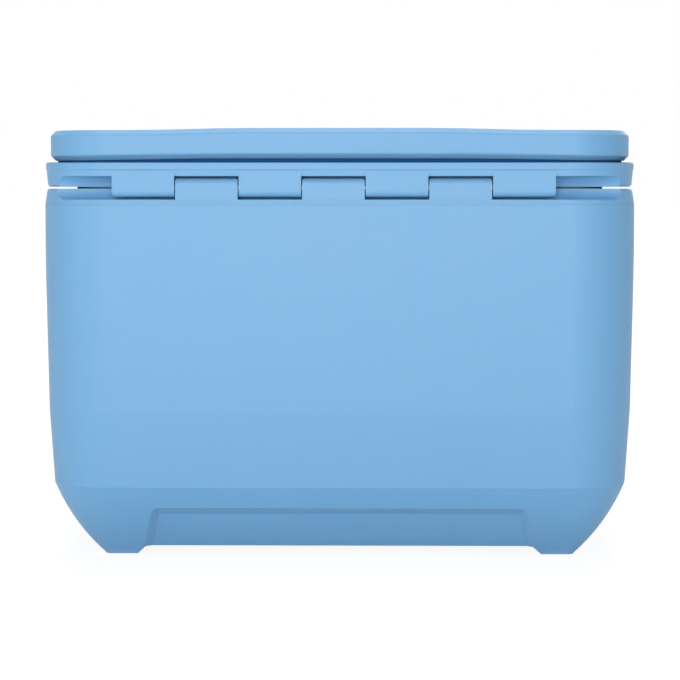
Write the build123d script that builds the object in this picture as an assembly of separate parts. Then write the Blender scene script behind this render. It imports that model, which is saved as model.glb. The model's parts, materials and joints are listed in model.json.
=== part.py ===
"""Vaccine carrier: an insulated box with a hinged lid, front latches, a folding handle and ice packs.

The frame: +Z up, origin on the floor under the middle of the box, front (latches) at -Y, hinge at +Y.
Every moulding follows the same rounded rectangle plan, so most solids are one profile carried round it.
"""

import os
from math import cos, hypot, radians, sin, sqrt, tan

from build123d import *

# ---------------------------------------------------------------- overall form
width = 440.0
depth = 300.0
plan_corner = 48.0
parting_gap = 1.46              # daylight between lid ring and body rim

# ---------------------------------------------------------------- body skin
rim_inset = 1.8                 # rim band, in from the widest section
rim_band_height = 7.4           # from the hinge axis down to the shoulder
shoulder_height = 4.9           # slope between the rim band and the wall
wall_top_inset = 0.15
bulge_height = 67.7             # soft outward curve under the shoulder
bulge_sagitta = 0.25
upper_draft = 1.05              # degrees
break_height = 109.9            # upper break line, above the floor
band_draft = 3.7                # degrees
band_height = 54.8              # height of the lower band
keel_radius = 150.0             # curved foot of the walls
keel_start = 22.0               # degrees from vertical at the second break line
foot_chamfer = 2.5
rim_chamfer = 1.2

# ---------------------------------------------------------------- walls and insulation
shell_wall = 3.0
liner_wall = 2.5
lid_wall = 3.0
wall_thickness = 36.0           # outside of the rim to the inside of the liner
liner_corner = 30.0
liner_draft = 1.5               # degrees
liner_floor_height = 48.0
liner_floor_chamfer = 5.0
liner_flange_width = 14.0       # flange of the liner on the rim

# ---------------------------------------------------------------- feet and base recesses
foot_inner_inset = 68.0         # inner side of the sole, in from the widest section
foot_height = 6.3
foot_slope = 45.0               # degrees
recess_depth = 5.5
recess_top_height = 39.0
recess_top_inset = 81.8         # upper corner of a recess, in from the side of the box
recess_side_slope = 14.0        # degrees from vertical
recess_corner = 6.0
recess_reach = 60.0             # how far a recess tool reaches into the box

# ---------------------------------------------------------------- lid ring
ring_inset = 0.9
ring_lower_inset = 1.4
ring_foot_inset = 2.3           # lower edge, for the taper of the skirt
ring_top = 18.6                 # above the hinge axis
ring_step = 13.4
ring_edge_chamfer = 0.9
ring_bottom_chamfer = 1.5
groove_depth = 9.0              # shadow gap between ring and slab, in from the ring
lid_return = 11.0               # inward flange of the ring and slab beyond the gap

# ---------------------------------------------------------------- lid slab
slab_inset = 4.6
slab_bottom = 20.1
slab_lift = 1.3                 # rise of the underside towards the middle
lift_flat_half = 80.0           # level middle of the underside
lift_end_half = 195.0           # where the lift fades out
slab_seat = 21.4                # top of the ring seat, above the hinge axis
slab_top = 42.0
slab_chamfer = 3.6              # along both rims
slab_rim_round = 1.6            # softens both edges of each chamfer
crown_height = 1.5
crown_flat_half = 66.0          # level middle of the crown
crown_end_half = 153.0          # where the crown fades out

# ---------------------------------------------------------------- hinge
hinge_set_back = 8.0            # pin axis in from the back of the ring
pin_diameter = 5.0
pin_running_clearance = 0.1     # radial, in the body knuckles
knuckle_reach = 6.9             # knuckle tip beyond the axis
knuckle_back_round = 4.5
knuckle_end_round = 3.4         # outer corners of the two end knuckles
body_knuckle_round = 2.0
knuckle_pitch = 46.2
knuckle_gap = 0.75
knuckle_count = 7
knuckle_centre_x = 3.6
pocket_depth = 9.5              # rear recess round the knuckles, in from the back of the ring
lid_pocket_height = 8.5
body_pocket_height = 8.6
sweep_clearance = 0.4
plug_length = 6.0

# ---------------------------------------------------------------- latches
latch_spacing = 210.0
latch_width = 52.0
latch_side_clearance = 1.0
latch_thickness = 4.6
latch_pin_diameter = 4.0
latch_pin_height = 9.0          # above the hinge axis
latch_pin_set_back = 6.4        # in from the front of the ring
latch_hub_radius = 4.8
latch_length = 50.0             # hub centre to the lower lip
latch_pocket_depth = 13.0
latch_pocket_roof = 15.6        # above the hinge axis
latch_pocket_drop = 68.0        # below the hinge axis
keeper_drop = 24.0              # keeper rib, below the hinge axis
keeper_height = 5.0
keeper_reach = 4.6
catch_clearance = 0.35
latch_lip_reach = 3.0
latch_corner = 6.0              # rounded lower corners
grip_rib_count = 3
grip_rib_pitch = 4.0
grip_rib_radius = 0.9
grip_rib_side = 8.0             # from the side of the latch to the end of a rib

# ---------------------------------------------------------------- carry handle
handle_width = 160.0
handle_arm_width = 24.0
handle_length = 50.0            # pivot axis to the far edge of the grip
handle_grip_depth = 22.0
handle_thickness = 13.0
handle_corner = 14.0
handle_inner_corner = 6.0
handle_edge = 2.0
handle_proud = 0.7              # hub crown above the lid
handle_pin_diameter = 5.0
handle_pin_length = 18.0
handle_side_clearance = 1.5
handle_seat_depth = 15.5
finger_well_depth = 25.0
finger_well_margin = 4.0
finger_well_corner = 8.0

# ---------------------------------------------------------------- plug and gasket of the lid
plug_clearance = 4.0
plug_drop = 22.0                # below the hinge axis
plug_draft = 4.0                # degrees
plug_bottom_chamfer = 5.0
plug_flange_width = 8.0
gasket_inset = 24.0
gasket_width = 5.0
gasket_seat_depth = 2.0
gasket_land = 1.0               # ring inside the gasket, at its own corner radius

# ---------------------------------------------------------------- ice packs and pad
pack_width = 94.0
pack_height = 163.0
pack_thickness = 34.0
pack_edge_chamfer = 5.0
pack_wall_clearance = 1.0
pack_gap = 2.0                  # least gap between packs on one wall
pack_notch = 27.0
pack_notch_spare = 5.0          # pack stands this much above its cap
pack_flute_pitch = 24.0
pack_flute_width = 5.0
pack_flute_depth = 1.5
pack_flute_start = 25.0
cap_diameter = 24.0
cap_height = 14.0
cap_flat_count = 12
cap_gap = 1.0                   # under the cap
neck_diameter = 16.0
neck_height = 10.0
rib_height = 5.0
rib_thickness = 3.0
rib_overlap = 29.0              # rib past the middle of the outer packs
pad_thickness = 28.0
pad_headroom = 14.4             # between the pad and the lid plug
pad_length = 118.0
pad_corner = 18.0
pad_clearance = 3.0
slit_width = 1.0
slit_depth = 16.0
slit_length = 18.0
slit_pitch = 30.0

# ---------------------------------------------------------------- derived places
parting_height = liner_floor_height + pack_height + pad_thickness + pad_headroom + plug_drop
rim_top = parting_height - parting_gap / 2
lid_bottom = parting_height + parting_gap / 2
back_y = depth / 2 - ring_inset
front_y = -back_y
hinge_y = back_y - hinge_set_back
sweep_radius = (
    hypot(hinge_set_back - knuckle_back_round, knuckle_reach - knuckle_back_round)
    + knuckle_back_round
)
pocket_radius = sweep_radius + sweep_clearance
liner_half_x = width / 2 - wall_thickness
liner_half_y = depth / 2 - wall_thickness
ring_inner_inset = gasket_inset + gasket_width + gasket_land


# ================================================================ helpers
def wrapped(profile, half_x, half_y, corner, filled=None):
    """Carries a profile round a rounded rectangle. It lies on XZ, measured out from the corner centres.

    filled gives the low and high Z of the middle, for a profile that starts on the corner centre.
    """
    centre_x = half_x - corner
    centre_y = half_y - corner
    quarter = revolve(profile, axis=Axis.Z, revolution_arc=90)
    if quarter.center().Y < 0:
        quarter = Rot(0, 0, 90) * quarter
    end = extrude(profile, amount=centre_y, both=True)
    side = extrude(profile, amount=centre_x, both=True)
    pieces = [
        Pos(centre_x, centre_y) * quarter,
        Pos(-centre_x, centre_y) * Rot(0, 0, 90) * quarter,
        Pos(-centre_x, -centre_y) * Rot(0, 0, 180) * quarter,
        Pos(centre_x, -centre_y) * Rot(0, 0, 270) * quarter,
        Pos(centre_x, 0) * end,
        Pos(-centre_x, 0) * Rot(0, 0, 180) * end,
        Pos(0, centre_y) * Rot(0, 0, 90) * side,
        Pos(0, -centre_y) * Rot(0, 0, -90) * side,
    ]
    if filled:
        low, high = filled
        pieces.append(block(-centre_x, centre_x, -centre_y, centre_y, low, high))
    return Part() + pieces


def block(x0, x1, y0, y1, z0, z1):
    """A box given by its six sides."""
    centre = Pos((x0 + x1) / 2, (y0 + y1) / 2, (z0 + z1) / 2)
    return centre * Box(abs(x1 - x0), abs(y1 - y0), abs(z1 - z0))


def along_x(outline, x0, x1):
    """Extrudes a face that lies on YZ between two X places."""
    return Pos(x0) * extrude(outline, amount=x1 - x0, dir=(1, 0, 0))


def rod_x(radius, y, z, x0, x1):
    """A round bar along X."""
    return Pos((x0 + x1) / 2, y, z) * Rot(0, 90, 0) * Cylinder(radius, x1 - x0)


def profile_face(*edges):
    """A closed outline on XZ."""
    return make_face(Plane.XZ * (Curve() + list(edges)))


def polygon_xz(*points):
    """A closed straight-sided outline on XZ."""
    return make_face(Plane.XZ * Polyline(*points, close=True))


def polygon_yz(*points):
    """A closed straight-sided outline on YZ, from (y, z) points."""
    return make_face(Plane.YZ * Polyline(*points, close=True))


def single(shape):
    """The one solid of a shape, so that a piece is never written as a group by accident."""
    solids = shape.solids()
    assert len(solids) == 1, f"expected one solid, found {len(solids)}"
    return solids[0]


# ================================================================ body
def keel_circle():
    """Centre (out from the corner centre, Z) of the arc that forms the curved foot of the walls."""
    band_z = break_height - band_height
    band_out = plan_corner - band_inset()
    return (
        band_out - keel_radius * cos(radians(keel_start)),
        band_z + keel_radius * sin(radians(keel_start)),
    )


def bulge_inset():
    """Inset of the skin where the soft bulge ends and the straight draft begins."""
    return wall_top_inset + bulge_height * tan(radians(upper_draft)) / 4


def break_inset():
    """Inset of the skin at the upper break line."""
    bulge_z = parting_height - rim_band_height - shoulder_height - bulge_height
    straight = bulge_z - break_height
    return bulge_inset() + straight * tan(radians(upper_draft))


def band_inset():
    """Inset of the skin at the lower break line."""
    return break_inset() + band_height * tan(radians(band_draft))


def keel_inset(z):
    """Inset of the curved foot of the walls at a height."""
    centre_out, centre_z = keel_circle()
    return plan_corner - centre_out - sqrt(keel_radius**2 - (centre_z - z) ** 2)


def body_profile():
    """The skin of the body, out from the corner centre, from the sole to the rim."""
    out = plan_corner
    rim_z = parting_height - rim_band_height
    shoulder_z = rim_z - shoulder_height
    bulge_z = shoulder_z - bulge_height
    break_z = break_height
    band_z = break_z - band_height
    keel_foot = (out - keel_inset(foot_chamfer), foot_chamfer)
    sole_out = keel_foot[0] - foot_chamfer
    keel_mid_z = (band_z + foot_chamfer) / 2
    bulge_mid_out = out - (wall_top_inset + bulge_inset()) / 2 + bulge_sagitta
    edges = [
        Line((0, 0), (sole_out, 0)),
        Line((sole_out, 0), keel_foot),
        ThreePointArc(
            keel_foot,
            (out - keel_inset(keel_mid_z), keel_mid_z),
            (out - band_inset(), band_z),
        ),
        Line((out - band_inset(), band_z), (out - break_inset(), break_z)),
        Line((out - break_inset(), break_z), (out - bulge_inset(), bulge_z)),
        ThreePointArc(
            (out - bulge_inset(), bulge_z),
            (bulge_mid_out, (shoulder_z + bulge_z) / 2),
            (out - wall_top_inset, shoulder_z),
        ),
        Line((out - wall_top_inset, shoulder_z), (out - ring_inset, rim_z)),
        Line((out - ring_inset, rim_z), (out - rim_inset, rim_top - rim_chamfer)),
        Line((out - rim_inset, rim_top - rim_chamfer), (out - rim_inset - rim_chamfer, rim_top)),
        Line((out - rim_inset - rim_chamfer, rim_top), (0, rim_top)),
        Line((0, rim_top), (0, 0)),
    ]
    return profile_face(*edges)


def void_profile():
    """The inside of the body skin, which the foam fills."""
    out = plan_corner - shell_wall
    low = foot_height + shell_wall
    break_z = break_height
    band_z = break_z - band_height
    top = rim_top - shell_wall - liner_wall
    return polygon_xz(
        (0, low),
        (out - keel_inset(low) - recess_depth, low),
        (out - keel_inset(recess_top_height) - recess_depth, recess_top_height),
        (out - band_inset(), band_z),
        (out - break_inset(), break_z),
        (out - rim_inset, top),
        (0, top),
    )


def body_void():
    """Space between the skin and everything inside it, kept clear of the hinge rail and latch pockets."""
    low = foot_height + shell_wall
    top = rim_top - shell_wall - liner_wall
    void = wrapped(void_profile(), width / 2, depth / 2, plan_corner, (low, top))
    rail_y = hinge_y - pocket_radius - shell_wall
    rail_z = parting_height - rim_band_height - shoulder_height - shell_wall
    void -= block(-width, width, rail_y, depth, rail_z, parting_height)
    for x in latch_places():
        half = latch_width / 2 + latch_side_clearance + shell_wall
        pocket_y = front_y + latch_pocket_depth + shell_wall
        bottom = parting_height - latch_pocket_drop - shell_wall - latch_pocket_depth
        void -= block(x - half, x + half, -depth, pocket_y, bottom, parting_height)
    return void


def latch_places():
    """X of the two latches."""
    return (latch_spacing / 2, -latch_spacing / 2)


def recess_tool(length, out_of_box):
    """What a base recess removes from a wall of this length, which faces +Y, out_of_box from the middle.

    The recess follows the curved foot of the wall. Its top and sides are bevels as wide as it is deep.
    """
    top = recess_top_height
    skin = out_of_box
    half_top = length / 2 - recess_top_inset
    slope = tan(radians(recess_side_slope))
    low = -1.0
    half_low = half_top + (top - low) * slope
    inner = skin - recess_reach
    floor_z = top - recess_depth

    def section(shift, z_low, z_high):
        z_mid = (z_low + z_high) / 2
        edges = [
            Line((inner, z_low), (skin - keel_inset(z_low) - shift, z_low)),
            ThreePointArc(
                (skin - keel_inset(z_low) - shift, z_low),
                (skin - keel_inset(z_mid) - shift, z_mid),
                (skin - keel_inset(z_high) - shift, z_high),
            ),
            Line((skin - keel_inset(z_high) - shift, z_high), (inner, z_high)),
            Line((inner, z_high), (inner, z_low)),
        ]
        return make_face(Plane.YZ * (Curve() + edges))

    outline = polygon_xz((-half_top, top), (half_top, top), (half_low, low), (-half_low, low))
    outline = fillet([v for v in outline.vertices() if v.Z > low + 1], recess_corner)
    zone = extrude(outline, amount=skin + recess_depth, dir=(0, 1, 0))
    zone -= block(-length, length, -1, inner + 1, low - 1, top + 1)
    panel = along_x(section(recess_depth, low - 1, top), -length / 2, length / 2)
    bar = along_x(section(0, low - 1, top), -length / 2, length / 2)
    bevel_top = along_x(
        polygon_yz(
            (inner, top + 1),
            (skin - keel_inset(top), top + 1),
            (skin - keel_inset(top), top),
            (skin - keel_inset(floor_z) - recess_depth, floor_z),
            (inner, floor_z),
        ),
        -length / 2,
        length / 2,
    )
    tool = zone - panel - bevel_top
    for sign in (1, -1):
        edge_plane = Plane(
            origin=(sign * half_top, 0, top),
            x_dir=(0, 1, 0),
            z_dir=(sign * cos(radians(recess_side_slope)), 0, sin(radians(recess_side_slope))),
        )
        cut_face = bar & (edge_plane * Rectangle(4 * depth, 4 * depth))
        tool -= extrude(cut_face, amount=2 * recess_depth, dir=(-sign, -1, 0))
    return tool


def underside_gaps():
    """What is cut from under the box between the four feet."""
    inner_x = width / 2 - foot_inner_inset
    inner_y = depth / 2 - foot_inner_inset
    run = foot_height / tan(radians(foot_slope))
    low = -1.0
    low_run = low / tan(radians(foot_slope))
    gaps = Part()
    for half, plane in ((inner_x, Plane.XZ), (inner_y, Plane.YZ)):
        outline = Polyline(
            (-half + low_run, low),
            (-half + run, foot_height),
            (half - run, foot_height),
            (half - low_run, low),
            close=True,
        )
        gaps += extrude(make_face(plane * outline), amount=width, both=True)
    return gaps


def knuckle_spans():
    """X ranges of the seven knuckles: even ones belong to the lid, odd ones to the body."""
    first = knuckle_centre_x - knuckle_pitch * knuckle_count / 2
    return [
        (first + i * knuckle_pitch + knuckle_gap / 2, first + (i + 1) * knuckle_pitch - knuckle_gap / 2)
        for i in range(knuckle_count)
    ]


def knuckle(x0, x1, up, round_0, round_1):
    """A knuckle: flush back, rounded tip, root reaching away from the tip, the tip's corners rounded.

    up is 1 for the body's knuckles and -1 for the lid's.
    """
    tip = knuckle_reach * up
    root = -(pocket_radius + shell_wall) * up
    back_round = knuckle_back_round
    outline = Curve() + [
        Line((back_y, parting_height + root), (back_y, parting_height + tip - back_round * up)),
        RadiusArc(
            (back_y, parting_height + tip - back_round * up),
            (back_y - back_round, parting_height + tip),
            -back_round * up,
        ),
        Line((back_y - back_round, parting_height + tip), (hinge_y, parting_height + tip)),
        RadiusArc(
            (hinge_y, parting_height + tip),
            (hinge_y - knuckle_reach, parting_height),
            -knuckle_reach * up,
        ),
        Line((hinge_y - knuckle_reach, parting_height), (hinge_y - knuckle_reach, parting_height + root)),
        Line((hinge_y - knuckle_reach, parting_height + root), (back_y, parting_height + root)),
    ]
    tip_z = parting_height + tip
    root_z = parting_height + root
    front = polygon_xz((x0, root_z), (x1, root_z), (x1, tip_z), (x0, tip_z))
    for x, radius in ((x0, round_0), (x1, round_1)):
        if radius:
            corner = [v for v in front.vertices() if abs(v.X - x) < radius and abs(v.Z - tip_z) < radius]
            front = fillet(corner, radius)
    return along_x(make_face(Plane.YZ * outline), x0, x1) & extrude(front, amount=depth, both=True)


def rear_pocket(low, high):
    """The recess behind the knuckles between two heights, with a round groove beyond each hinge end."""
    spans = knuckle_spans()
    pocket = block(-width / 2, width / 2, back_y - pocket_depth, depth, low, high)
    for x0, x1 in ((-width / 2, spans[0][0]), (spans[-1][1], width / 2)):
        pocket += rod_x(pocket_radius, hinge_y, parting_height, x0, x1) & block(x0, x1, 0, depth, low, high)
    return pocket


def knuckle_clearance(spans):
    """Round pockets in which the other leaf's knuckles turn."""
    cuts = Part()
    for x0, x1 in spans:
        cuts += rod_x(pocket_radius, hinge_y, parting_height, x0 - knuckle_gap, x1 + knuckle_gap)
    return cuts


def outer_shell(void):
    """Moulded skin of the body with its feet, base recesses, hinge knuckles and latch keepers."""
    spans = knuckle_spans()
    shell = wrapped(body_profile(), width / 2, depth / 2, plan_corner, (0, rim_top))
    shell -= underside_gaps()
    long_recess = recess_tool(width, depth / 2)
    short_recess = recess_tool(depth, width / 2)
    for turn, recess in ((0, long_recess), (180, long_recess), (90, short_recess), (-90, short_recess)):
        shell -= Rot(0, 0, turn) * recess
    shell -= rear_pocket(parting_height - body_pocket_height, parting_height + 1)
    shell -= knuckle_clearance(spans[0::2])
    for x0, x1 in spans[1::2]:
        shell += knuckle(x0, x1, 1, body_knuckle_round, body_knuckle_round)
    shell -= rod_x(
        pin_diameter / 2 + pin_running_clearance,
        hinge_y,
        parting_height,
        spans[0][0],
        spans[-1][1],
    )
    shell -= void
    shell -= body_mouth()
    shell -= latch_pockets(parting_height - latch_pocket_drop, parting_height + 1)
    for x in latch_places():
        shell += keeper(x)
    return single(shell)


def body_mouth():
    """Opening in the rim that the liner fills, with the rebate for its flange."""
    flange_inset = wall_thickness - liner_flange_width
    corner = liner_corner + liner_flange_width
    rebate = Pos(0, 0, rim_top - liner_wall) * extrude(
        RectangleRounded(width - 2 * flange_inset, depth - 2 * flange_inset, corner), amount=liner_wall + 1
    )
    neck_corner = liner_corner + liner_wall
    neck = Pos(0, 0, rim_top - shell_wall - liner_wall - 1) * extrude(
        RectangleRounded(2 * (liner_half_x + liner_wall), 2 * (liner_half_y + liner_wall), neck_corner),
        amount=shell_wall + liner_wall + 2,
    )
    return rebate + neck


def latch_pockets(low, high):
    """Front pockets in which the latches hang."""
    pockets = Part()
    for x in latch_places():
        half = latch_width / 2 + latch_side_clearance
        pockets += block(x - half, x + half, -depth / 2 - 5, front_y + latch_pocket_depth, low, high)
    return pockets


def keeper(x):
    """Rib under the joint that the latch hook snaps below."""
    half = latch_width / 2 - latch_side_clearance
    base_y = front_y + latch_pocket_depth
    top = parting_height - keeper_drop + keeper_height
    low = parting_height - keeper_drop
    outline = polygon_yz(
        (base_y + 1, top + keeper_reach),
        (base_y, top + keeper_reach),
        (base_y - keeper_reach, top),
        (base_y - keeper_reach, low),
        (base_y + 1, low),
    )
    return along_x(outline, x - half, x + half)


def liner_profile(extra, floor, top):
    """Inside (extra 0) or outside (extra = wall) of the liner, out from its corner centre."""
    out = liner_corner + extra
    fall = (rim_top - floor) * tan(radians(liner_draft))
    above = (top - rim_top) * tan(radians(liner_draft))
    side = polygon_xz((0, floor), (out - fall, floor), (out + above, top), (0, top))
    corner = [v for v in side.vertices() if v.X > 1 and v.Z < floor + 1]
    return chamfer(corner, liner_floor_chamfer + extra / 2)


def liner_form(extra, floor, top):
    """The solid bounded by the inside or outside of the liner."""
    return wrapped(
        liner_profile(extra, floor, top),
        liner_half_x + extra,
        liner_half_y + extra,
        liner_corner + extra,
        (floor, top),
    )


def inner_liner():
    """White tub with a flange on the rim and floor ribs that keep the ice packs against the walls."""
    corner = liner_corner + liner_flange_width
    flange = Pos(0, 0, rim_top - liner_wall) * extrude(
        RectangleRounded(
            2 * (liner_half_x + liner_flange_width), 2 * (liner_half_y + liner_flange_width), corner
        ),
        amount=liner_wall,
    )
    liner = liner_form(liner_wall, liner_floor_height - liner_wall, rim_top) + flange
    liner -= liner_form(0, liner_floor_height, rim_top + 1)
    for rib in pack_ribs():
        liner += rib
    return single(liner)


def body_insulation(void):
    """Foam between the skin and the liner."""
    foam = void - liner_form(liner_wall, liner_floor_height - liner_wall, rim_top)
    return single(foam)


# ================================================================ ice packs and pad
def pack_back(half_extent):
    """Distance from the middle of the box to the back of a pack that stands against a wall."""
    fall = (rim_top - liner_floor_height) * tan(radians(liner_draft))
    return half_extent - fall - pack_wall_clearance


def outer_pack_x():
    """X of the outer packs on a long wall: up to the packs on the ends, or side by side in a short box."""
    return max(pack_back(liner_half_x) - pack_thickness - pack_width / 2, pack_width + pack_gap)


def pack_places():
    """Name, X, Y and turn of each pack: three on each long wall, one on each end."""
    long_y = pack_back(liner_half_y) - pack_thickness / 2
    end_x = pack_back(liner_half_x) - pack_thickness / 2
    places = []
    for side, sign, turn in (("front", -1, 0), ("back", 1, 180)):
        for name, step in (("left", -1), ("middle", 0), ("right", 1)):
            places.append((f"{side}_{name}", step * outer_pack_x(), sign * long_y, turn))
    places.append(("left_end", -end_x, 0, -90))
    places.append(("right_end", end_x, 0, 90))
    return places


def ice_pack():
    """A flat water-filled bottle with a filler neck in a notch at one top corner."""
    pack = Pos(0, 0, pack_height / 2) * Box(pack_width, pack_thickness, pack_height)
    pack = chamfer(pack.edges(), pack_edge_chamfer)
    x1 = pack_width / 2
    shoulder = pack_height - cap_height - pack_notch_spare
    pack -= block(
        x1 - pack_notch, x1 + 1, -pack_thickness, pack_thickness, shoulder, pack_height + 1
    )
    neck = extrude(RegularPolygon(neck_diameter / 2, cap_flat_count), amount=neck_height)
    pack += Pos(x1 - pack_notch / 2, 0, shoulder) * neck
    for x in (-pack_flute_pitch, 0):
        for sign in (1, -1):
            face = sign * (pack_thickness / 2 - pack_flute_depth)
            pack -= block(
                x - pack_flute_width / 2,
                x + pack_flute_width / 2,
                face,
                sign * pack_thickness,
                pack_flute_start,
                shoulder - pack_flute_start,
            )
    return pack


def pack_cap():
    """Screw cap on the filler neck, with grip flats."""
    x = pack_width / 2 - pack_notch / 2
    shoulder = pack_height - cap_height - pack_notch_spare
    low = shoulder + cap_gap
    cap = Pos(x, 0, low) * extrude(RegularPolygon(cap_diameter / 2, cap_flat_count), amount=cap_height)
    bore = extrude(RegularPolygon(neck_diameter / 2, cap_flat_count), amount=neck_height - cap_gap + 1)
    cap -= Pos(x, 0, low - 1) * bore
    return cap


def pack_ribs():
    """Low ribs on the liner floor on the room side of the packs."""
    y = pack_back(liner_half_y) - pack_thickness - pack_wall_clearance
    x = pack_back(liner_half_x) - pack_thickness - pack_wall_clearance
    low = liner_floor_height - liner_wall / 2
    high = liner_floor_height + rib_height
    long_half = outer_pack_x() + rib_overlap
    end_half = pack_width / 2 - pack_edge_chamfer
    ribs = []
    for sign in (1, -1):
        ribs.append(block(-long_half, long_half, sign * (y - rib_thickness), sign * y, low, high))
        ribs.append(block(sign * (x - rib_thickness), sign * x, -end_half, end_half, low, high))
    return ribs


def vial_pad():
    """Foam pad on the packs at one end, with crossed slits that hold vials upright."""
    end_x = pack_back(liner_half_x)
    half_y = pack_back(liner_half_y) - pad_clearance + pack_wall_clearance
    low = liner_floor_height + pack_height
    pad = Pos(-end_x + pad_clearance + pad_length / 2, 0, low) * extrude(
        RectangleRounded(pad_length, 2 * half_y, pad_corner), amount=pad_thickness
    )
    x = -end_x + pad_clearance + pad_length / 2
    for i in (-1, 0, 1):
        for j in (-2, -1, 0, 1, 2):
            top = low + pad_thickness
            place = Pos(x + i * slit_pitch, j * slit_pitch, top - slit_depth / 2 + 0.5)
            pad -= place * Box(slit_length, slit_width, slit_depth + 1)
            pad -= place * Box(slit_width, slit_length, slit_depth + 1)
    return single(pad)


# ================================================================ lid
def ring_profile():
    """Section of the lid ring: flat underside, tapered skirt, ledge and raised seat for the slab."""
    out = plan_corner
    low = lid_bottom
    ledge = parting_height + ring_top
    seat = parting_height + slab_seat
    step_z = parting_height + ring_step
    seat_out = out - ring_inset - groove_depth
    opening_out = out - ring_inner_inset
    side_out = out - ring_lower_inset
    foot_out = out - ring_foot_inset
    rim_out = out - ring_inset
    return polygon_xz(
        (opening_out, low),
        (foot_out - ring_bottom_chamfer, low),
        (foot_out, low + ring_bottom_chamfer),
        (side_out, step_z - (rim_out - side_out)),
        (rim_out, step_z),
        (rim_out, ledge - ring_edge_chamfer),
        (rim_out - ring_edge_chamfer, ledge),
        (seat_out, ledge),
        (seat_out, seat),
        (opening_out, seat),
    )


def ring_void():
    """Hollow of the ring, open to the lid foam, kept clear of the hinge rail and latch pockets."""
    out = plan_corner
    outer = out - ring_lower_inset - lid_wall
    ledge = parting_height + ring_top - lid_wall
    seat_outer = out - ring_inset - groove_depth - lid_wall
    seat_inner = out - ring_inset - groove_depth - lid_return
    opening_out = out - ring_inner_inset - 1
    seat = parting_height + slab_seat
    profile = polygon_xz(
        (opening_out, lid_bottom + lid_wall),
        (outer, lid_bottom + lid_wall),
        (outer, ledge),
        (seat_outer, ledge),
        (seat_outer, seat - lid_wall),
        (seat_inner, seat - lid_wall),
        (seat_inner, seat + 1),
        (opening_out, seat + 1),
    )
    void = wrapped(profile, width / 2, depth / 2, plan_corner)
    rail_y = hinge_y - pocket_radius - lid_wall
    void -= block(-width, width, rail_y, depth, 0, seat - lid_wall)
    for x in latch_places():
        half = latch_width / 2 + latch_side_clearance + 2 * lid_wall
        pocket_y = front_y + latch_pocket_depth + lid_wall
        void -= block(x - half, x + half, -depth, pocket_y, 0, seat - lid_wall)
    return void


def lid_frame(void):
    """Lower ring of the lid with four hinge knuckles and the latch pockets."""
    spans = knuckle_spans()
    frame = wrapped(ring_profile(), width / 2, depth / 2, plan_corner)
    plate_inset = ring_inner_inset - 1
    plate = RectangleRounded(
        width - 2 * plate_inset, depth - 2 * plate_inset, plan_corner - plate_inset
    ) - RectangleRounded(
        2 * (liner_half_x - plug_clearance),
        2 * (liner_half_y - plug_clearance),
        liner_corner - plug_clearance,
    )
    frame += Pos(0, 0, lid_bottom) * extrude(plate, amount=lid_wall)
    frame -= rear_pocket(parting_height - 1, parting_height + lid_pocket_height)
    frame -= knuckle_clearance(spans[1::2])
    for x0, x1 in spans[0::2]:
        round_0 = knuckle_end_round if x0 == spans[0][0] else 0
        round_1 = knuckle_end_round if x1 == spans[-1][1] else 0
        frame += knuckle(x0, x1, -1, round_0, round_1)
    frame -= rod_x(pin_diameter / 2, hinge_y, parting_height, spans[0][0] - 1, spans[-1][1] + 1)
    frame -= void
    frame -= latch_pockets(parting_height - 1, parting_height + latch_pocket_roof)
    frame -= gasket_form(lid_bottom - 1, lid_bottom + gasket_seat_depth)
    for x in latch_places():
        frame -= latch_pin(x)
    return single(frame)


def gasket_form(low, high):
    """The seal as a plain band round the mouth between two heights."""
    out = plan_corner - gasket_inset
    profile = polygon_xz((out - gasket_width, low), (out, low), (out, high), (out - gasket_width, high))
    return wrapped(profile, width / 2, depth / 2, plan_corner)


def lid_gasket():
    """Soft seal, seated in the ring and resting on the liner flange."""
    return single(gasket_form(rim_top, lid_bottom + gasket_seat_depth))


def crown_line(level, rise, flat_half, end_half, half):
    """Half of a soft crown: level at the ends, raised in the middle, from +half to -half in X."""
    return [
        Line((half, level), (end_half, level)),
        Spline((end_half, level), (flat_half, level + rise), tangents=[(-1, 0), (-1, 0)]),
        Line((flat_half, level + rise), (-flat_half, level + rise)),
        Spline((-flat_half, level + rise), (-end_half, level), tangents=[(-1, 0), (-1, 0)]),
        Line((-end_half, level), (-half, level)),
    ]


def slab_form():
    """Outside of the lid slab: crowned top, underside that lifts towards the middle, chamfered rims."""
    half_x = width / 2 - slab_inset
    half_y = depth / 2 - slab_inset
    corner = plan_corner - slab_inset
    top = parting_height + slab_top
    low = parting_height + slab_bottom
    plan = RectangleRounded(2 * half_x, 2 * half_y, corner)
    slab = Pos(0, 0, low - slab_top / 2) * extrude(plan, amount=2 * slab_top)
    edges = crown_line(top, crown_height, crown_flat_half, crown_end_half, width)
    edges += crown_line(low, slab_lift, lift_flat_half, lift_end_half, width)
    edges += [Line((-width, top), (-width, low)), Line((width, low), (width, top))]
    slab &= extrude(profile_face(*edges), amount=depth, both=True)
    lifted = low + slab_lift
    rims = [e for e in slab.edges() if on_outline(e, half_x, half_y, corner)]
    rims = [e for e in rims if e.bounding_box().min.Z > top - 1 or e.bounding_box().max.Z < lifted + 1]
    slab = chamfer(rims, slab_chamfer)
    rims = [e for e in slab.edges() if on_outline(e, half_x, half_y, corner)]
    slab = fillet(rims, slab_rim_round)
    seat_inset = ring_inset + groove_depth
    seat = RectangleRounded(width - 2 * seat_inset, depth - 2 * seat_inset, plan_corner - seat_inset)
    return slab - Pos(0, 0, low - 1) * extrude(seat, amount=slab_seat - slab_bottom + 1)


def on_outline(edge, half_x, half_y, corner):
    """Whether the middle of an edge lies on the side of a rounded rectangle."""
    middle = edge.position_at(0.5)
    over_x = max(abs(middle.X) - (half_x - corner), 0)
    over_y = max(abs(middle.Y) - (half_y - corner), 0)
    return hypot(over_x, over_y) > corner - 0.5


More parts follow.
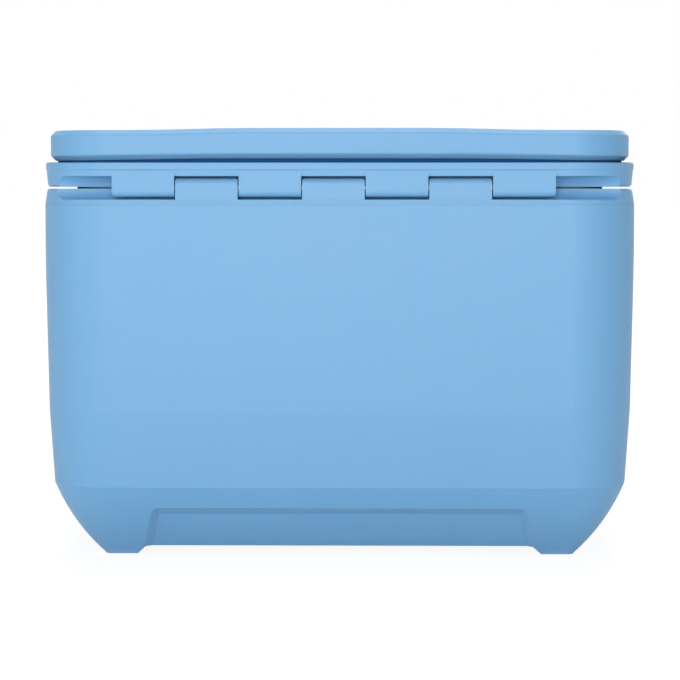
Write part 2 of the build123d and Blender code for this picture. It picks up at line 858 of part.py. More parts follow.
def slab_void():
    """Hollow of the slab, open below to the lid foam."""
    half_x = width / 2 - slab_inset - lid_wall
    half_y = depth / 2 - slab_inset - lid_wall
    corner = plan_corner - slab_inset - lid_wall
    low = parting_height + slab_seat
    top = parting_height + slab_top
    void = Pos(0, 0, low + lid_wall) * extrude(
        RectangleRounded(2 * half_x, 2 * half_y, corner), amount=top - low - 2 * lid_wall
    )
    opening_inset = ring_inset + groove_depth + lid_return
    opening = Pos(0, 0, low - slab_lift - 1) * extrude(
        RectangleRounded(width - 2 * opening_inset, depth - 2 * opening_inset, plan_corner - opening_inset),
        amount=lid_wall + slab_lift + 2,
    )
    return void + opening - handle_seat(lid_wall) - finger_well(lid_wall)


def handle_plan(margin):
    """Outline of the folded handle with a margin, its two grip corners rounded."""
    half = handle_width / 2 + margin
    grip_y = -handle_length - margin
    hub_y = handle_thickness / 2 + margin
    corners = ((-half, grip_y), (half, grip_y), (half, hub_y), (-half, hub_y))
    outline = make_face(Polyline(*corners, close=True))
    return fillet([v for v in outline.vertices() if v.Y < 0], handle_corner + margin)


def handle_seat(grown):
    """Recess in the slab that the folded handle fills, grown by a wall for the foam side."""
    margin = handle_side_clearance + grown
    top = parting_height + slab_top + crown_height
    floor = top - handle_seat_depth - grown
    return Pos(0, 0, floor) * extrude(handle_plan(margin), amount=top + 5 - floor)


def finger_well(grown):
    """Deeper part of the recess, inside the loop and under the grip."""
    half = handle_width / 2 - handle_arm_width - finger_well_margin / 2 + grown
    top = parting_height + slab_top + crown_height
    y0 = -handle_length + finger_well_margin - grown
    y1 = -handle_thickness / 2 - finger_well_margin + grown
    low = top - finger_well_depth - grown
    outline = RectangleRounded(2 * half, y1 - y0, finger_well_corner + grown)
    return Pos(0, (y0 + y1) / 2, low) * extrude(outline, amount=top + 5 - low)


def handle_axis_z():
    """Height of the handle pivots: the hub crown stands slightly above the lid."""
    return parting_height + slab_top + crown_height + handle_proud - handle_thickness / 2


def lid_cover(void):
    """Crowned slab of the lid with the recess for the handle."""
    cover = slab_form() - void - handle_seat(0) - finger_well(0)
    for x0, x1 in handle_pin_spans():
        cover -= rod_x(handle_pin_diameter / 2, 0, handle_axis_z(), x0, x1)
    return single(cover)


def lid_plug_profile(extra):
    """Side of the lid plug below the ring, out from its corner centre."""
    out = liner_corner - plug_clearance + extra
    low = parting_height - plug_drop - extra
    top = lid_bottom + lid_wall
    fall = (top - low) * tan(radians(plug_draft))
    side = polygon_xz((0, low), (out - fall, low), (out, top), (0, top))
    corner = [v for v in side.vertices() if v.X > 1 and v.Z < low + 1]
    return chamfer(corner, plug_bottom_chamfer + extra / 2)


def plug_form(extra):
    """Solid inside (extra negative) or outside (extra 0) of the plug skin."""
    low = parting_height - plug_drop - extra
    top = lid_bottom + lid_wall
    return wrapped(
        lid_plug_profile(extra),
        liner_half_x - plug_clearance + extra,
        liner_half_y - plug_clearance + extra,
        liner_corner - plug_clearance + extra,
        (low, top),
    )


def lid_liner():
    """White inner panel of the lid: the plug that enters the mouth and a flange on the ring."""
    corner = liner_corner - plug_clearance + plug_flange_width
    flange = Pos(0, 0, lid_bottom + lid_wall) * extrude(
        RectangleRounded(
            2 * (liner_half_x - plug_clearance + plug_flange_width),
            2 * (liner_half_y - plug_clearance + plug_flange_width),
            corner,
        ),
        amount=liner_wall,
    )
    panel = plug_form(0) + flange - plug_form(-liner_wall)
    panel -= Pos(0, 0, lid_bottom) * extrude(
        RectangleRounded(
            2 * (liner_half_x - plug_clearance - liner_wall),
            2 * (liner_half_y - plug_clearance - liner_wall),
            liner_corner - plug_clearance - liner_wall,
        ),
        amount=lid_wall + liner_wall + 1,
    )
    return single(panel)


def lid_insulation(ring_hollow, slab_hollow, panel):
    """Foam that fills the ring, the slab and the plug."""
    seat = parting_height + slab_seat
    core = Pos(0, 0, lid_bottom + lid_wall) * extrude(
        RectangleRounded(
            width - 2 * ring_inner_inset, depth - 2 * ring_inner_inset, plan_corner - ring_inner_inset
        ),
        amount=seat - lid_bottom - lid_wall,
    )
    foam = core + ring_hollow + slab_hollow + plug_form(-liner_wall)
    foam &= block(-width, width, -depth, depth, 0, parting_height + slab_top)
    foam = foam - panel - handle_seat(lid_wall) - finger_well(lid_wall)
    return single(foam)


# ================================================================ hinge pin
def hinge_pin():
    """Steel rod through all seven knuckles."""
    spans = knuckle_spans()
    return rod_x(
        pin_diameter / 2, hinge_y, parting_height, spans[0][0] + plug_length, spans[-1][1] - plug_length
    )


def hinge_pin_plugs():
    """Plugs that close both ends of the pin bore."""
    spans = knuckle_spans()
    left = rod_x(pin_diameter / 2, hinge_y, parting_height, spans[0][0], spans[0][0] + plug_length)
    right = rod_x(pin_diameter / 2, hinge_y, parting_height, spans[-1][1] - plug_length, spans[-1][1])
    return Compound(children=[single(left), single(right)])


# ================================================================ latches
def latch_pin(x):
    """Steel pivot pin of a latch, held at both ends in the ring."""
    half = latch_width / 2 + latch_side_clearance + lid_wall
    return rod_x(
        latch_pin_diameter / 2,
        front_y + latch_pin_set_back,
        parting_height + latch_pin_height,
        x - half,
        x + half,
    )


def latch(x):
    """Swing latch: a hub on the pin, a plate that hangs over the joint, an inner hook and a finger lip."""
    pin_y = front_y + latch_pin_set_back
    pin_z = parting_height + latch_pin_height
    outer = pin_y - latch_hub_radius
    inner = outer + latch_thickness
    foot = pin_z - latch_length
    keeper_face = front_y + latch_pocket_depth - keeper_reach
    hook_tip = keeper_face - catch_clearance
    hook_top = parting_height - keeper_drop - catch_clearance
    outline = polygon_yz(
        (outer, pin_z),
        (outer, foot + latch_lip_reach),
        (outer, foot),
        (inner - 1, foot - 2),
        (inner, foot + 2),
        (inner, hook_top - 6),
        (hook_tip, hook_top - 3),
        (hook_tip, hook_top),
        (inner, hook_top),
        (inner, pin_z),
    )
    half = latch_width / 2
    lowest = foot - latch_lip_reach
    front = polygon_xz((x - half, lowest), (x + half, lowest), (x + half, pin_z), (x - half, pin_z))
    front = fillet([v for v in front.vertices() if v.Z < foot], latch_corner)
    plate = along_x(outline, x - half, x + half) & extrude(front, amount=depth, both=True)
    for i in range(grip_rib_count):
        rib_z = foot + latch_lip_reach + (i + 1) * grip_rib_pitch
        plate += rod_x(grip_rib_radius, outer, rib_z, x - half + grip_rib_side, x + half - grip_rib_side)
    plate += rod_x(latch_hub_radius, pin_y, pin_z, x - half, x + half)
    plate -= rod_x(latch_pin_diameter / 2 + pin_running_clearance, pin_y, pin_z, x - half - 1, x + half + 1)
    return single(plate)


# ================================================================ carry handle
def handle_pin_spans():
    """X ranges of the two pivot pins, from inside the arms into the recess walls."""
    outer = handle_width / 2 + handle_side_clearance + lid_wall
    return ((outer - handle_pin_length, outer), (-outer, -outer + handle_pin_length))


def carry_handle():
    """Flat loop handle, folded towards the front: two arms with round hubs and a rounded grip."""
    half = handle_width / 2
    hub = handle_thickness / 2
    z = handle_axis_z()
    inner = half - handle_arm_width
    grip_back = -handle_length + handle_grip_depth
    outline = handle_plan(0) - Pos(0, handle_length / 2) * Rectangle(3 * half, handle_length)
    window = make_face(
        Polyline((-inner, 0), (-inner, grip_back), (inner, grip_back), (inner, 0), close=True)
    )
    outline -= fillet([v for v in window.vertices() if v.Y < -1], handle_inner_corner)
    loop = Pos(0, 0, z - hub) * extrude(outline, amount=handle_thickness)
    rims = [e for e in loop.edges() if abs(e.center().Z - z) > hub - 0.1 and e.center().Y < -0.1]
    loop = chamfer(rims, handle_edge)
    for sign in (1, -1):
        x0, x1 = sorted((sign * inner, sign * half))
        loop += rod_x(hub, 0, z, x0, x1)
    for x0, x1 in handle_pin_spans():
        loop -= rod_x(handle_pin_diameter / 2 + pin_running_clearance, 0, z, x0 - 0.2, x1 + 0.2)
    return single(loop)


# ================================================================ assembly
def build_parts():
    """Every piece by node name."""
    void = body_void()
    ring_hollow = ring_void()
    slab_hollow = slab_void()
    panel = lid_liner()
    parts = {
        "outer_shell": outer_shell(void),
        "body_insulation": body_insulation(void),
        "inner_liner": inner_liner(),
        "lid_frame": lid_frame(ring_hollow),
        "lid_cover": lid_cover(slab_hollow),
        "lid_insulation": lid_insulation(ring_hollow, slab_hollow, panel),
        "lid_liner": panel,
        "lid_gasket": lid_gasket(),
        "hinge_pin": hinge_pin(),
        "hinge_pin_plugs": hinge_pin_plugs(),
        "carry_handle": carry_handle(),
        "vial_pad": vial_pad(),
    }
    for side, x in zip(("right", "left"), latch_places()):
        parts[f"latch_{side}"] = latch(x)
        parts[f"latch_pin_{side}"] = latch_pin(x)
    for side, (x0, x1) in zip(("right", "left"), handle_pin_spans()):
        parts[f"handle_pin_{side}"] = rod_x(handle_pin_diameter / 2, 0, handle_axis_z(), x0, x1)
    pack = ice_pack()
    cap = pack_cap()
    for name, x, y, turn in pack_places():
        place = Pos(x, y, liner_floor_height) * Rot(0, 0, turn)
        parts[f"ice_pack_{name}"] = single(place * pack)
        parts[f"ice_pack_cap_{name}"] = single(place * cap)
    return parts


def main():
    os.makedirs("parts", exist_ok=True)
    for name, shape in build_parts().items():
        export_step(shape, f"parts/{name}.step")


main()
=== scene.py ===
import json
from math import radians, tan

import bmesh
import bpy
from mathutils import Matrix, Vector


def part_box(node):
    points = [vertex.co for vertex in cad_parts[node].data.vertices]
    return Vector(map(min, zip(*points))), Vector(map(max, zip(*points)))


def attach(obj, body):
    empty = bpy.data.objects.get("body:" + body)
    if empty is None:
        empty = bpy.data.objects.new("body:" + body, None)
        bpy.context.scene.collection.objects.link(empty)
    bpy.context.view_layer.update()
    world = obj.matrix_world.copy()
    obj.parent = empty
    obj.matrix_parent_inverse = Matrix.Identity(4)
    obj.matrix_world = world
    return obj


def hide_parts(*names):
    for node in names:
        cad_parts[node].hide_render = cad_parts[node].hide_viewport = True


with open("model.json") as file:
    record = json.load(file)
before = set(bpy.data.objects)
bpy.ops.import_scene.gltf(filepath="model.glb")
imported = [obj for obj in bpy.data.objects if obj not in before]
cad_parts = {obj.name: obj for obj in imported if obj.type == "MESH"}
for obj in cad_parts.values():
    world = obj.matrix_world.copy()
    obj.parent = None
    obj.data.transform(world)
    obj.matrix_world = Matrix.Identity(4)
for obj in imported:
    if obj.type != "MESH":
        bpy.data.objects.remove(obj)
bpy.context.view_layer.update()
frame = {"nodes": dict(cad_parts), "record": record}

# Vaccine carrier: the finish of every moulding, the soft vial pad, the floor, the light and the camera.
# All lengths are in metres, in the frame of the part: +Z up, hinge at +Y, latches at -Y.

# ---------------------------------------------------------------- colours, linear
shell_blue = (0.145, 0.341, 0.565)
latch_blue = (0.158, 0.350, 0.570)
# painted shade, for the deep joint between lid ring and lid slab
painted_groove_shade = (0.004, 0.070, 0.220)
cap_blue = (0.060, 0.200, 0.560)
liner_white = (0.720, 0.735, 0.740)
foam_cream = (0.780, 0.690, 0.450)
seal_grey = (0.150, 0.160, 0.175)
steel_grey = (0.560, 0.570, 0.585)
pack_milk = (0.560, 0.670, 0.750)
pack_air = (0.690, 0.730, 0.750)
pad_grey = (0.300, 0.330, 0.370)
worn_blue = (0.500, 0.620, 0.740)
floor_white = (0.850, 0.850, 0.850)
pure_white = (1.0, 1.0, 1.0)

# ---------------------------------------------------------------- view
image_side = 680
sensor_width = 36.0             # mm
focal_pixels = 2199.5
camera_distance = 1.600         # from the back wall
camera_sideways = -0.025
camera_aim = -0.0012            # sideways, on the back wall
camera_pitch = 3.96             # degrees below level

# ---------------------------------------------------------------- light and floor
ambient_strength = 0.27
floor_drop = 0.0003             # below the soles
floor_half_side = 30.0
glow_strength = 1.08            # white in the picture
shadow_share = 0.15             # how much of the paper shows under the box
shadow_reach = 0.45             # full shadow share within this distance of the middle
shadow_fade = 0.90              # and none beyond this much more

# ---------------------------------------------------------------- painted shade in the crease and the lid groove, and wear
crease_half_width = 0.0003
crease_softness = 0.0002
shoulder_drop = 0.0123          # crease round the body, below the hinge axis, darkened with painted shade over a dent
groove_height = 0.0032          # band of painted shade in the joint between lid ring and lid slab, below the top of the ring
groove_softness = 0.0001
sole_wear_height = 0.0012       # soles are rubbed pale up to here
sole_wear_fade = 0.0030
water_drop = 0.012              # water level in an ice pack, below its top

# ---------------------------------------------------------------- finger well, in from the handle sides
well_side = 0.0231
well_front = 0.0011
well_back = 0.0141
well_corner = 0.0109
well_floor_thickness = 0.0057
well_floor_drop = 0.0001        # below the top of the lid ring
corner_segments = 6             # in each upright rounded corner of an added piece


# ================================================================ finishes
class Channel:
    """A socket of a finish. Arithmetic on it adds Math nodes."""

    def __init__(self, finish, socket):
        self.finish = finish
        self.socket = socket

    def maths(self, operation, first, second, clamped=False):
        settings = {"operation": operation, "use_clamp": clamped}
        return self.finish.node("ShaderNodeMath", settings, {0: first, 1: second})

    def __add__(self, other):
        return self.maths("ADD", self, other)

    __radd__ = __add__

    def __sub__(self, other):
        return self.maths("SUBTRACT", self, other)

    def __rsub__(self, other):
        return self.maths("SUBTRACT", other, self)

    def __mul__(self, other):
        return self.maths("MULTIPLY", self, other)

    __rmul__ = __mul__

    def above(self, level, softness):
        """0 below a level and 1 above it, over a soft step."""
        return self.maths("DIVIDE", self - level, softness, clamped=True)

    def near(self, middle, reach, softness):
        """1 within reach of a middle value and 0 outside it."""
        return self.above(middle - reach, softness) * (1 - self.above(middle + reach, softness))


class Finish:
    """The shader nodes of a new material, or of the world that is handed in."""

    def __init__(self, name, owner=None):
        self.material = owner or bpy.data.materials.new(name)
        self.material.use_nodes = True
        self.tree = self.material.node_tree
        self.tree.nodes.clear()
        self.place = self.node("ShaderNodeTexCoord", {}, {}, "Object")

    def node(self, kind, settings, inputs, output=0):
        """Adds a node: its settings first, then the values or links of its sockets."""
        made = self.tree.nodes.new(kind)
        for name, value in settings.items():
            setattr(made, name, value)
        for name, value in inputs.items():
            if isinstance(value, Channel):
                self.tree.links.new(value.socket, made.inputs[name])
            else:
                made.inputs[name].default_value = value
        return Channel(self, made.outputs[output]) if len(made.outputs) else None

    def noise(self, scale, detail=2.0, place=None):
        inputs = {"Vector": place or self.place, "Scale": scale, "Detail": detail}
        return self.node("ShaderNodeTexNoise", {}, inputs, "Fac")

    def stretched(self, x, y, z):
        """Object coordinates drawn out, for streaks and scratches."""
        return self.node("ShaderNodeMapping", {}, {"Vector": self.place, "Scale": (x, y, z)})

    def axis(self, name):
        """One object coordinate."""
        return self.node("ShaderNodeSeparateXYZ", {}, {0: self.place}, name)

    def tinted(self, colour, shade):
        """A colour made darker or lighter by a channel."""
        return self.node("ShaderNodeVectorMath", {"operation": "SCALE"}, {0: colour, "Scale": shade})

    def blended(self, factor, first, second):
        """From the first colour to the second."""
        inputs = {0: factor, 6: self.colour(first), 7: self.colour(second)}
        return self.node("ShaderNodeMix", {"data_type": "RGBA"}, inputs, 2)

    def colour(self, value):
        return value if isinstance(value, Channel) else (*value, 1)

    def bump(self, height, distance, strength):
        inputs = {"Height": height, "Distance": distance, "Strength": strength}
        return self.node("ShaderNodeBump", {}, inputs, "Normal")

    def surface(self, **sockets):
        """Ends the material in one shader with the given sockets."""
        inputs = {name.replace("_", " "): value for name, value in sockets.items()}
        if not isinstance(inputs["Base Color"], Channel):
            inputs["Base Color"] = (*inputs["Base Color"], 1)
        shader = self.node("ShaderNodeBsdfPrincipled", {}, inputs)
        self.end(shader)
        return self.material

    def end(self, shader):
        self.node("ShaderNodeOutputMaterial", {}, {"Surface": shader})


def moulded_plastic(name, colour, roughness, creases=(), grooves=()):
    """Satin moulded polypropylene: pigment clouds, leather-like grain, faint scuffs, rubbed soles.

    Creases are fine lines all round at a height, darkened with painted shade over a dent. Grooves are
    (low, high) heights where the colour is painted navy as shade, and made rougher.
    """
    finish = Finish(name)
    height_above_floor = finish.axis("Z")
    cloud = finish.noise(7.0, 3.0)
    mottle = finish.noise(140.0, 3.0)
    grain = finish.noise(950.0, 2.0)
    fine = finish.noise(2600.0, 1.0)
    scratch_field = finish.noise(1.0, 2.0, finish.stretched(14.0, 14.0, 900.0))
    scratches = scratch_field.above(0.70, 0.05) * cloud.above(0.50, 0.12)
    rubbed = 1 - height_above_floor.above(sole_wear_height, sole_wear_fade)
    line = 0.0
    for z in creases:
        line = line + height_above_floor.near(z, crease_half_width, crease_softness)
    shaded = 0.0
    for low, high in grooves:
        middle = (low + high) / 2
        shaded = shaded + height_above_floor.near(middle, (high - low) / 2, groove_softness)
    # the crease lines take painted shade out of the colour; scratches are paler wear
    shade = 0.972 + 0.038 * cloud + 0.018 * mottle + 0.030 * scratches - 0.10 * line
    worn = finish.blended(rubbed * 0.35 * mottle, finish.tinted(colour, shade), worn_blue)
    uneven = roughness - 0.03 + 0.08 * cloud + 0.05 * mottle
    height = 0.65 * grain + 0.25 * fine - 0.5 * scratches - 2.0 * line
    return finish.surface(
        # painted shade: the grooves turn navy
        Base_Color=finish.blended(shaded, worn, painted_groove_shade),
        Roughness=uneven + 0.12 * scratches + 0.2 * rubbed + 0.5 * shaded,
        Normal=finish.bump(height, 0.00012, 0.45),
        Specular_IOR_Level=0.35,
        Subsurface_Weight=0.20,
        Subsurface_Radius=(0.0006, 0.0020, 0.0045),
        Subsurface_Scale=1.0,
    )


def liner_plastic():
    """Glossy white food-grade liner with the slight waviness of a deep moulding."""
    finish = Finish("glossy_liner")
    wave = finish.noise(16.0, 2.0)
    cloud = finish.noise(5.0, 3.0)
    speck = finish.noise(420.0, 2.0)
    shade = 0.975 + 0.03 * cloud + 0.012 * speck
    return finish.surface(
        Base_Color=finish.tinted(liner_white, shade),
        Roughness=0.26 + 0.10 * cloud + 0.04 * speck,
        Normal=finish.bump(wave + 0.004 * speck, 0.0012, 0.35),
        Coat_Weight=0.25,
        Coat_Roughness=0.20,
    )


def rigid_foam():
    """Cut polyurethane foam: fine open cells and darker patches."""
    finish = Finish("rigid_foam")
    inputs = {"Vector": finish.place, "Scale": 650.0}
    cells = finish.node("ShaderNodeTexVoronoi", {}, inputs, "Distance")
    patch = finish.noise(22.0, 4.0)
    shade = 0.82 + 0.22 * patch + 0.12 * cells
    return finish.surface(
        Base_Color=finish.tinted(foam_cream, shade),
        Roughness=0.86 + 0.08 * patch,
        Normal=finish.bump(cells, 0.0006, 0.7),
    )


def seal_rubber():
    """Soft grey foamed seal with a matt skin."""
    finish = Finish("seal_rubber")
    skin = finish.noise(900.0, 3.0)
    cloud = finish.noise(30.0, 3.0)
    return finish.surface(
        Base_Color=finish.tinted(seal_grey, 0.85 + 0.3 * cloud),
        Roughness=0.62 + 0.14 * skin,
        Normal=finish.bump(skin, 0.0002, 0.6),
    )


def drawn_steel():
    """Stainless rod with streaks along its length."""
    finish = Finish("drawn_steel")
    streak = finish.noise(1.0, 3.0, finish.stretched(18.0, 2600.0, 2600.0))
    cloud = finish.noise(60.0, 2.0)
    return finish.surface(
        Base_Color=finish.tinted(steel_grey, 0.88 + 0.2 * streak),
        Metallic=1.0,
        Roughness=0.20 + 0.18 * streak + 0.06 * cloud,
        Normal=finish.bump(streak, 0.00004, 0.5),
    )


def pack_plastic(water_level):
    """Milky blow-moulded polyethylene, bluer where water stands behind it."""
    finish = Finish("milky_ice_pack")
    cloud = finish.noise(11.0, 3.0)
    flow = finish.noise(1.0, 3.0, finish.stretched(55.0, 55.0, 5.0))
    skin = finish.noise(600.0, 2.0)
    air = (finish.axis("Z") + 0.002 * cloud).above(water_level, 0.0012)
    shade = 0.93 + 0.09 * cloud + 0.04 * flow
    return finish.surface(
        Base_Color=finish.blended(air, finish.tinted(pack_milk, shade), finish.tinted(pack_air, shade)),
        Roughness=0.30 + 0.12 * flow + 0.05 * skin,
        Normal=finish.bump(0.7 * flow + 0.15 * skin, 0.0006, 0.5),
        Subsurface_Weight=0.35,
        Subsurface_Radius=(0.010, 0.014, 0.018),
        Subsurface_Scale=1.0,
    )


def cap_plastic():
    """Glossier moulded screw cap with a fine machined grain."""
    finish = Finish("screw_cap")
    grain = finish.noise(1300.0, 2.0)
    cloud = finish.noise(45.0, 3.0)
    return finish.surface(
        Base_Color=finish.tinted(cap_blue, 0.90 + 0.18 * cloud),
        Roughness=0.30 + 0.10 * cloud + 0.06 * grain,
        Normal=finish.bump(grain, 0.00010, 0.5),
    )


def pad_foam():
    """Soft closed-cell foam with a skin of small cells."""
    finish = Finish("soft_pad_foam")
    inputs = {"Vector": finish.place, "Scale": 520.0}
    cells = finish.node("ShaderNodeTexVoronoi", {"feature": "DISTANCE_TO_EDGE"}, inputs, "Distance")
    cloud = finish.noise(24.0, 4.0)
    pore = 1 - cells.above(0.02, 0.20)
    return finish.surface(
        Base_Color=finish.tinted(pad_grey, 0.90 + 0.22 * cloud - 0.18 * pore),
        Roughness=0.82 + 0.10 * pore,
        Normal=finish.bump(cells.above(0.0, 0.35) + 0.4 * cloud, 0.0005, 0.8),
    )


def hinge_height():
    """Height of the hinge axis."""
    low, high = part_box("hinge_pin")
    return (low.z + high.z) / 2


def paint_nodes():
    """Gives every node its finish, by the record's material slot."""
    packs = [name for name in frame["nodes"] if name.startswith("ice_pack") and "cap" not in name]
    pack_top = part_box(packs[0])[1].z
    ring_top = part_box("lid_frame")[1].z
    shoulder = hinge_height() - shoulder_drop
    groove = (ring_top - groove_height, ring_top)
    # the ring's finish paints shade into the joint groove under the lid slab
    ring = moulded_plastic("moulded_ring", shell_blue, 0.42, grooves=[groove])
    finishes = {
        "shell_blue": moulded_plastic("moulded_shell", shell_blue, 0.42, creases=[shoulder]),
        "latch_blue": moulded_plastic("moulded_latch", latch_blue, 0.40),
        "liner_white": liner_plastic(),
        "foam": rigid_foam(),
        "seal": seal_rubber(),
        "steel": drawn_steel(),
        "pack_white": pack_plastic(pack_top - water_drop),
        "cap_blue": cap_plastic(),
        "pad_foam": pad_foam(),
    }
    for part in frame["record"]["subparts"]:
        node = frame["nodes"][part["node"]]
        finish = finishes[part["material_slot"]]
        if part["node"] == "lid_frame":
            finish = ring
        for slot in node.material_slots:
            slot.material = finish
    return finishes


# ================================================================ added pieces
def finished_piece(name, bm, finish, body):
    """Turns a bmesh into a piece that rides on a body."""
    mesh = bpy.data.meshes.new(name)
    bmesh.ops.recalc_face_normals(bm, faces=bm.faces)
    bm.to_mesh(mesh)
    bm.free()
    piece = bpy.data.objects.new(name, mesh)
    bpy.context.scene.collection.objects.link(piece)
    mesh.materials.append(finish)
    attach(piece, body)
    return piece


def cut_across(bm, axis, places):
    """Cuts the whole mesh with planes across an axis."""
    normal = Vector((axis == 0, axis == 1, axis == 2))
    for place in places:
        geometry = bm.verts[:] + bm.edges[:] + bm.faces[:]
        bmesh.ops.bisect_plane(bm, geom=geometry, plane_co=normal * place, plane_no=normal)


def rounded_block(size, corner, segments):
    """A block round the origin with rounded upright edges."""
    bm = bmesh.new()
    bmesh.ops.create_cube(bm, size=1.0, matrix=Matrix.Diagonal((*size, 1)))
    upright = [e for e in bm.edges if rise(e) > size[2] / 2]
    round_edges(bm, upright, corner, segments)
    return bm


def rise(edge):
    """Difference in height between the ends of an edge."""
    return abs(edge.verts[0].co.z - edge.verts[1].co.z)


def round_edges(bm, edges, radius, segments):
    bmesh.ops.bevel(
        bm, geom=edges, offset=radius, segments=segments, profile=0.5, affect="EDGES", material=-1
    )


def well_floor_piece(finish):
    """Plastic floor of the finger well under the handle, let into the foam flush with the walls."""
    low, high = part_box("carry_handle")
    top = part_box("lid_frame")[1].z - well_floor_drop
    width = high.x - low.x - 2 * well_side
    depth = high.y - low.y - well_front - well_back
    bm = rounded_block((width, depth, well_floor_thickness), well_corner, corner_segments)
    centre_y = low.y + well_front + depth / 2
    centre = Vector(((low.x + high.x) / 2, centre_y, top - well_floor_thickness / 2))
    bmesh.ops.translate(bm, verts=bm.verts, vec=centre)
    finished_piece("handle_well_floor", bm, finish, "lid")


def vial_pad_piece(finish):
    """Foam pad with soft edges, a slightly crowned top and crossed slits."""
    low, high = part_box("vial_pad")
    centre = (low + high) / 2
    size = high - low
    corner = 0.018
    edge_round = 0.0035
    edge_segments = 3
    sharp = 1.0                 # radians between the faces of an edge that is rounded
    level = 0.0005              # most that a level edge may rise
    slit_pitch = 0.030
    slit_half = 0.009
    slit_gap = 0.0005
    slit_depth = 0.015
    crown = 0.0022
    bm = rounded_block((size.x, size.y, size.z - crown), corner, corner_segments)
    rims = [e for e in bm.edges if rise(e) < level and abs(e.calc_face_angle(0)) > sharp]
    round_edges(bm, rims, edge_round, edge_segments)
    columns = [column * slit_pitch for column in (-1, 0, 1)]
    rows = [row * slit_pitch for row in (-2, -1, 0, 1, 2)]
    offsets = (-slit_half, -slit_gap, slit_gap, slit_half)
    cut_across(bm, 0, [place + offset for place in columns for offset in offsets])
    cut_across(bm, 1, [place + offset for place in rows for offset in offsets])
    top = max(v.co.z for v in bm.verts)
    upper = [f for f in bm.faces if f.normal.z > 0.99 and f.calc_center_median().z > top - level]
    slits = [f for f in upper if in_slit(f.calc_center_median(), columns, rows, slit_half, slit_gap)]
    sunk = bmesh.ops.extrude_face_region(bm, geom=slits)
    sunk_verts = [g for g in sunk["geom"] if isinstance(g, bmesh.types.BMVert)]
    bmesh.ops.translate(bm, verts=sunk_verts, vec=(0, 0, -slit_depth))
    for vert in bm.verts:
        if vert.co.z > 0:
            across = 1 - (2 * vert.co.x / size.x) ** 2
            along = 1 - (2 * vert.co.y / size.y) ** 2
            vert.co.z += crown * (across * along - 0.5)
    bmesh.ops.translate(bm, verts=bm.verts, vec=centre)
    pad = finished_piece("vial_pad_foam", bm, finish, "base")
    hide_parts("vial_pad")


def in_slit(point, columns, rows, half, gap):
    """Whether a point of the top lies on an arm of one of the crosses."""
    for column in columns:
        for row in rows:
            x = abs(point.x - column)
            y = abs(point.y - row)
            if (x < half and y < gap) or (x < gap and y < half):
                return True
    return False


# ================================================================ floor, light and camera
def floor():
    """Pale floor. The camera sees it as white, with the soft shadow of the box kept."""
    bm = bmesh.new()
    bmesh.ops.create_grid(bm, x_segments=1, y_segments=1, size=floor_half_side)
    mesh = bpy.data.meshes.new("floor")
    bm.to_mesh(mesh)
    bm.free()
    plane = bpy.data.objects.new("floor", mesh)
    bpy.context.scene.collection.objects.link(plane)
    finish = Finish("pale_floor")
    sees_white = seen_directly(finish)
    paper = finish.node("ShaderNodeBsdfDiffuse", {}, {"Color": (*floor_white, 1)})
    light = {"Color": (*pure_white, 1), "Strength": glow_strength}
    glow = finish.node("ShaderNodeEmission", {}, light)
    distance = finish.node("ShaderNodeVectorMath", {"operation": "LENGTH"}, {0: finish.place}, "Value")
    paper_share = shadow_share * (1 - distance.above(shadow_reach, shadow_fade))
    glow_share = sees_white * (1 - paper_share)
    finish.end(finish.node("ShaderNodeMixShader", {}, {0: glow_share, 1: paper, 2: glow}))
    mesh.materials.append(finish.material)
    plane.location.z = -floor_drop


def seen_directly(finish):
    """1 for rays that should meet a white background: from the camera, a mirror or clear plastic."""
    camera_ray = finish.node("ShaderNodeLightPath", {}, {}, "Is Camera Ray")
    glossy_ray = finish.node("ShaderNodeLightPath", {}, {}, "Is Glossy Ray")
    clear_ray = finish.node("ShaderNodeLightPath", {}, {}, "Is Transmission Ray")
    return camera_ray.maths("ADD", camera_ray + glossy_ray, clear_ray, clamped=True)


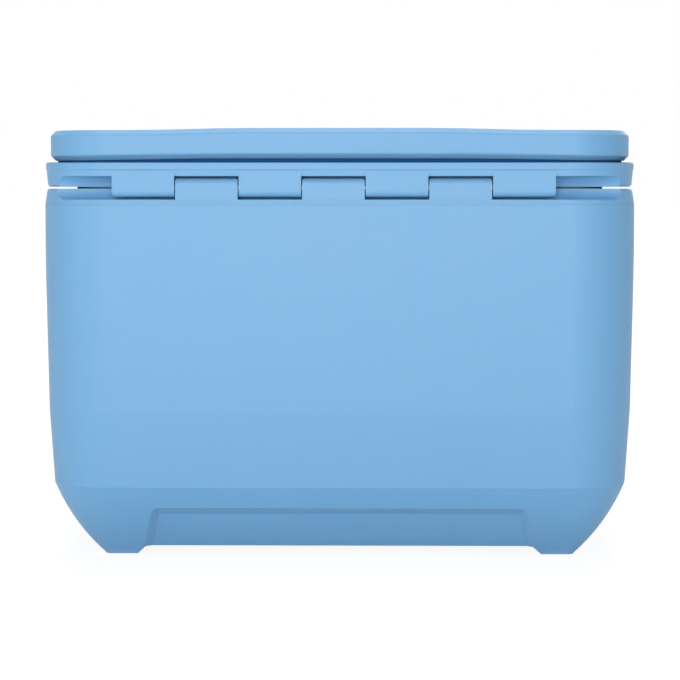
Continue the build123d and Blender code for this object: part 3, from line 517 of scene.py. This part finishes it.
def surroundings(ambient):
    """White seen directly, a plainer grey as light."""
    world = bpy.data.worlds.new("studio")
    bpy.context.scene.world = world
    finish = Finish("studio", world)
    sees_white = seen_directly(finish)
    strength = ambient + (1 - ambient) * sees_white
    inputs = {"Color": (*pure_white, 1), "Strength": strength}
    back = finish.node("ShaderNodeBackground", {}, inputs)
    finish.node("ShaderNodeOutputWorld", {}, {"Surface": back})


def softbox(name, place, target, width, height, watts):
    """A large soft lamp that faces a target."""
    lamp = bpy.data.lights.new(name, "AREA")
    lamp.shape = "RECTANGLE"
    lamp.size = width
    lamp.size_y = height
    lamp.energy = watts
    holder = bpy.data.objects.new(name, lamp)
    holder.location = place
    holder.rotation_euler = (Vector(target) - Vector(place)).to_track_quat("-Z", "Y").to_euler()
    bpy.context.scene.collection.objects.link(holder)


def lights():
    """Two lamps behind the box, one above it, one at its side and one in front."""
    middle = (0.0, 0.0, 0.16)
    softbox("back_light", (0.08, 2.17, 0.35), middle, 1.4, 0.6, 21.0)
    softbox("high_back_light", (0.00, 2.60, 1.40), middle, 2.0, 1.0, 17.0)
    softbox("top_light", (0.00, -0.80, 2.50), middle, 1.6, 1.6, 56.0)
    softbox("side_light", (2.00, 1.80, 0.60), middle, 1.2, 1.0, 10.0)
    softbox("front_light", (-0.70, -2.80, 1.00), middle, 1.6, 1.2, 20.0)


def camera():
    """Long lens behind the box, level with the hinge and tipped slightly down."""
    wall_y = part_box("outer_shell")[1].y
    eye = Vector((camera_sideways, wall_y + camera_distance, hinge_height()))
    aim = Vector((camera_aim, wall_y, eye.z - camera_distance * tan(radians(camera_pitch))))
    data = bpy.data.cameras.new("camera")
    data.sensor_width = sensor_width
    data.lens = focal_pixels * sensor_width / image_side
    data.clip_end = 60.0
    holder = bpy.data.objects.new("camera", data)
    holder.location = eye
    holder.rotation_euler = (aim - eye).to_track_quat("-Z", "Y").to_euler()
    bpy.context.scene.collection.objects.link(holder)
    bpy.context.scene.camera = holder


camera()
finishes = paint_nodes()
vial_pad_piece(finishes["pad_foam"])
well_floor_piece(finishes["shell_blue"])
floor()
surroundings(ambient_strength)
lights()
bpy.context.scene.view_settings.view_transform = "Standard"
